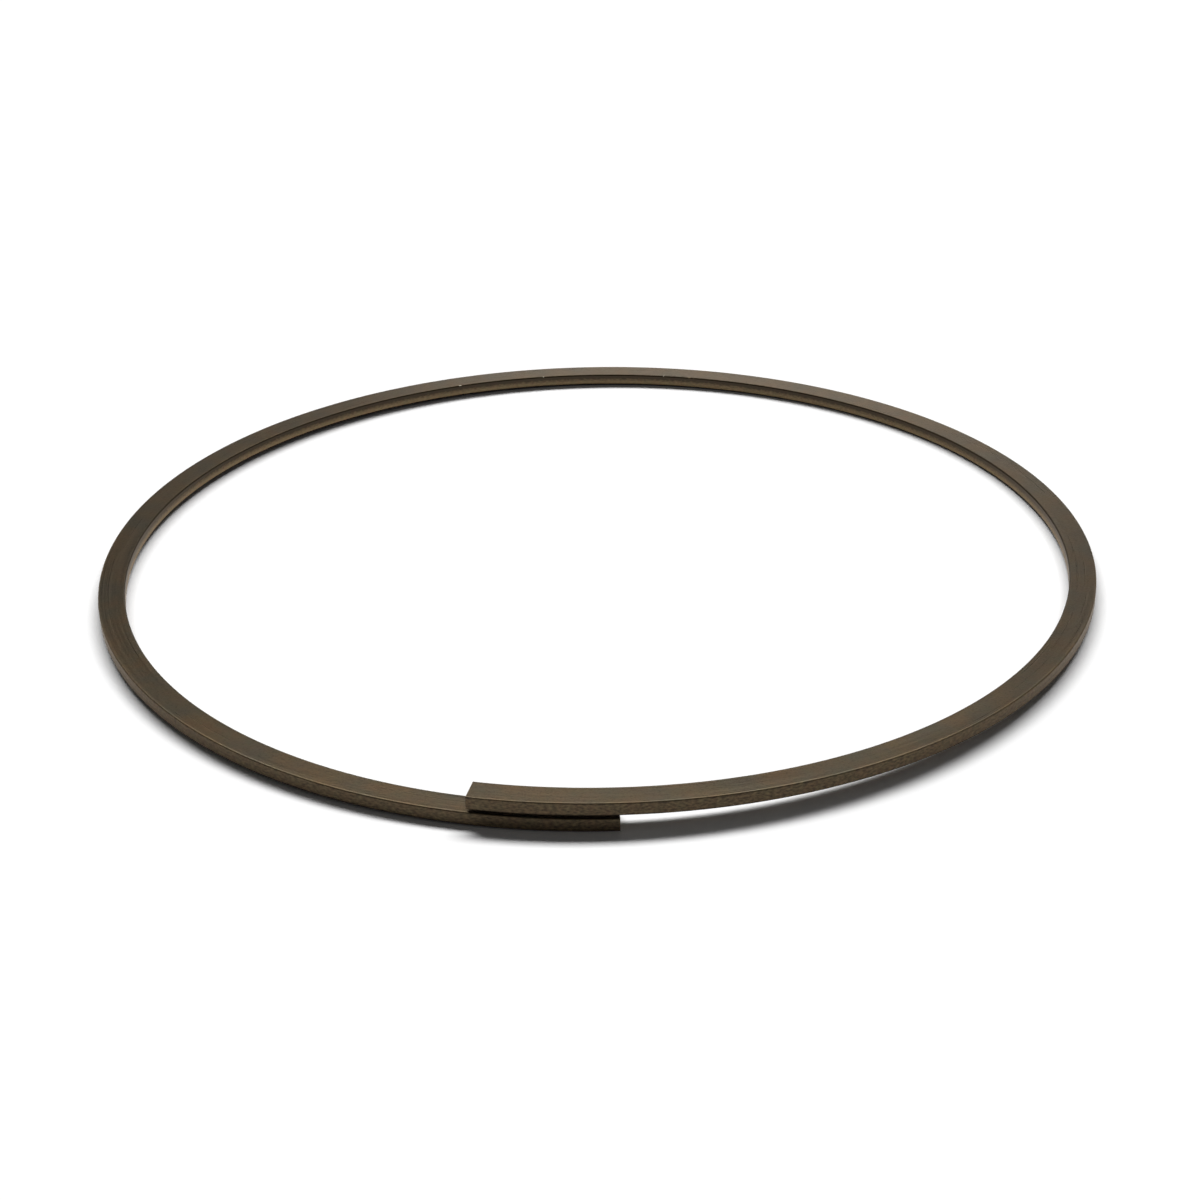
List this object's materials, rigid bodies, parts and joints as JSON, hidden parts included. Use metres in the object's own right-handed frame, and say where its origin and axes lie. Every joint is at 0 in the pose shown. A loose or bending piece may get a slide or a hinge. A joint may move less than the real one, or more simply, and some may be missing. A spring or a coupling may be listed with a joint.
{
  "type": "snap ring",
  "caption": "External snap ring of flat spring steel wire whose square ends overlap when free; it grips a groove in a shaft to hold parts in place along it.",
  "frame": {"origin": "centre of the ring, on the flat surface that it lies on", "axes": "+Z along the ring's axis, upwards; -Y towards the overlapping ends; +X to the side from which the upper arm comes"},
  "size_m": [0.16, 0.16, 0.0047],
  "materials": {
    "spring_steel": "dark oiled mill finish, as drawn and tempered"
  },
  "bodies": {
    "root": {"snap_ring": "spring_steel"}
  },
  "joints": []
}
